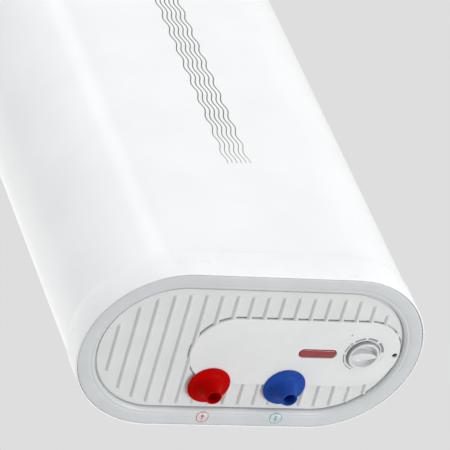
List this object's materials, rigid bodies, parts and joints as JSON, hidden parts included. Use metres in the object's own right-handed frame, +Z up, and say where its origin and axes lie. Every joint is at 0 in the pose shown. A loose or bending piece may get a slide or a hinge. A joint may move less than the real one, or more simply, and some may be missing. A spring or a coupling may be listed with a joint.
{
  "type": "storage water heater",
  "caption": "Flat wall-hung electric storage water heater with round ends, a ribbed underside, a raised control cover with a knob and an indicator window, and two flared water spigots",
  "frame": {"origin": "Centre of the wall bracket's back face, on the wall plane", "axes": "+Y into the wall, +Z up, +X to the right of someone who faces the heater"},
  "size_m": [0.45, 0.255, 0.8819],
  "materials": {
    "white_enamel": "baked white enamel, semi-gloss",
    "white_plastic": "white moulded plastic, semi-gloss",
    "grey_plastic": "cool light grey moulded plastic, semi-gloss",
    "pale_plastic": "pale grey moulded plastic, satin",
    "knob_plastic": "pale grey moulded plastic, semi-gloss",
    "red_lens": "dark red clear plastic, glossy",
    "red_plastic": "red moulded plastic",
    "blue_plastic": "blue moulded plastic",
    "black_plastic": "black moulded plastic",
    "cream_plastic": "cream heat-proof plastic",
    "steel": "plain stainless steel",
    "zinc": "zinc-plated steel",
    "copper": "copper",
    "magnesium": "extruded magnesium, dull",
    "rubber": "black rubber",
    "foam": "rigid yellow foam",
    "brown_wire": "brown insulation",
    "blue_wire": "blue insulation",
    "green_wire": "green insulation"
  },
  "bodies": {
    "heater": {"outer_casing": "white_enamel", "bottom_skirt": "white_plastic", "top_cover": "white_plastic", "bottom_bezel": "grey_plastic", "ribbed_panel": "pale_plastic", "control_cover": "pale_plastic", "indicator_lens": "red_lens", "cover_screw": "zinc", "hot_outlet_sleeve": "red_plastic", "cold_inlet_sleeve": "blue_plastic", "indicator_lamp": "black_plastic", "hot_outlet_pipe": "steel", "cold_inlet_pipe": "steel", "inlet_diffuser": "cream_plastic", "inner_tank_left": "steel", "inner_tank_right": "steel", "tank_link_pipe": "steel", "foam_insulation": "foam", "flange_plate_left": "zinc", "flange_plate_right": "zinc", "flange_gasket_left": "rubber", "flange_gasket_right": "rubber", "heating_element_left": "copper", "heating_element_right": "copper", "anode_rod_left": "magnesium", "anode_rod_right": "magnesium", "thermowell": "copper", "thermostat_stem": "copper", "thermostat_housing": "black_plastic", "thermal_cutout": "cream_plastic", "terminal_block": "cream_plastic", "supply_wire": "brown_wire", "lamp_wire": "blue_wire", "element_wire": "blue_wire", "earth_wire": "green_wire", "cable_gland": "rubber", "tank_hanger_bar": "zinc", "wall_bracket": "zinc", "hanger_bolt_left": "zinc", "hanger_bolt_right": "zinc", "wall_spacer_left": "black_plastic", "wall_spacer_right": "black_plastic", "flange_bolt_left_1": "zinc", "flange_bolt_left_2": "zinc", "flange_bolt_left_3": "zinc", "flange_bolt_left_4": "zinc", "flange_bolt_right_1": "zinc", "flange_bolt_right_2": "zinc", "flange_bolt_right_3": "zinc", "flange_bolt_right_4": "zinc"},
    "knob": {"thermostat_knob": "knob_plastic", "thermostat_spindle": "steel"}
  },
  "joints": [
    {"name": "knob_turn", "type": "hinge", "parent": "heater", "child": "knob", "pos_m": [0.1484, -0.135, -0.7022], "axis": [0, 0, 1], "range_deg": [-68, 172]}
  ]
}
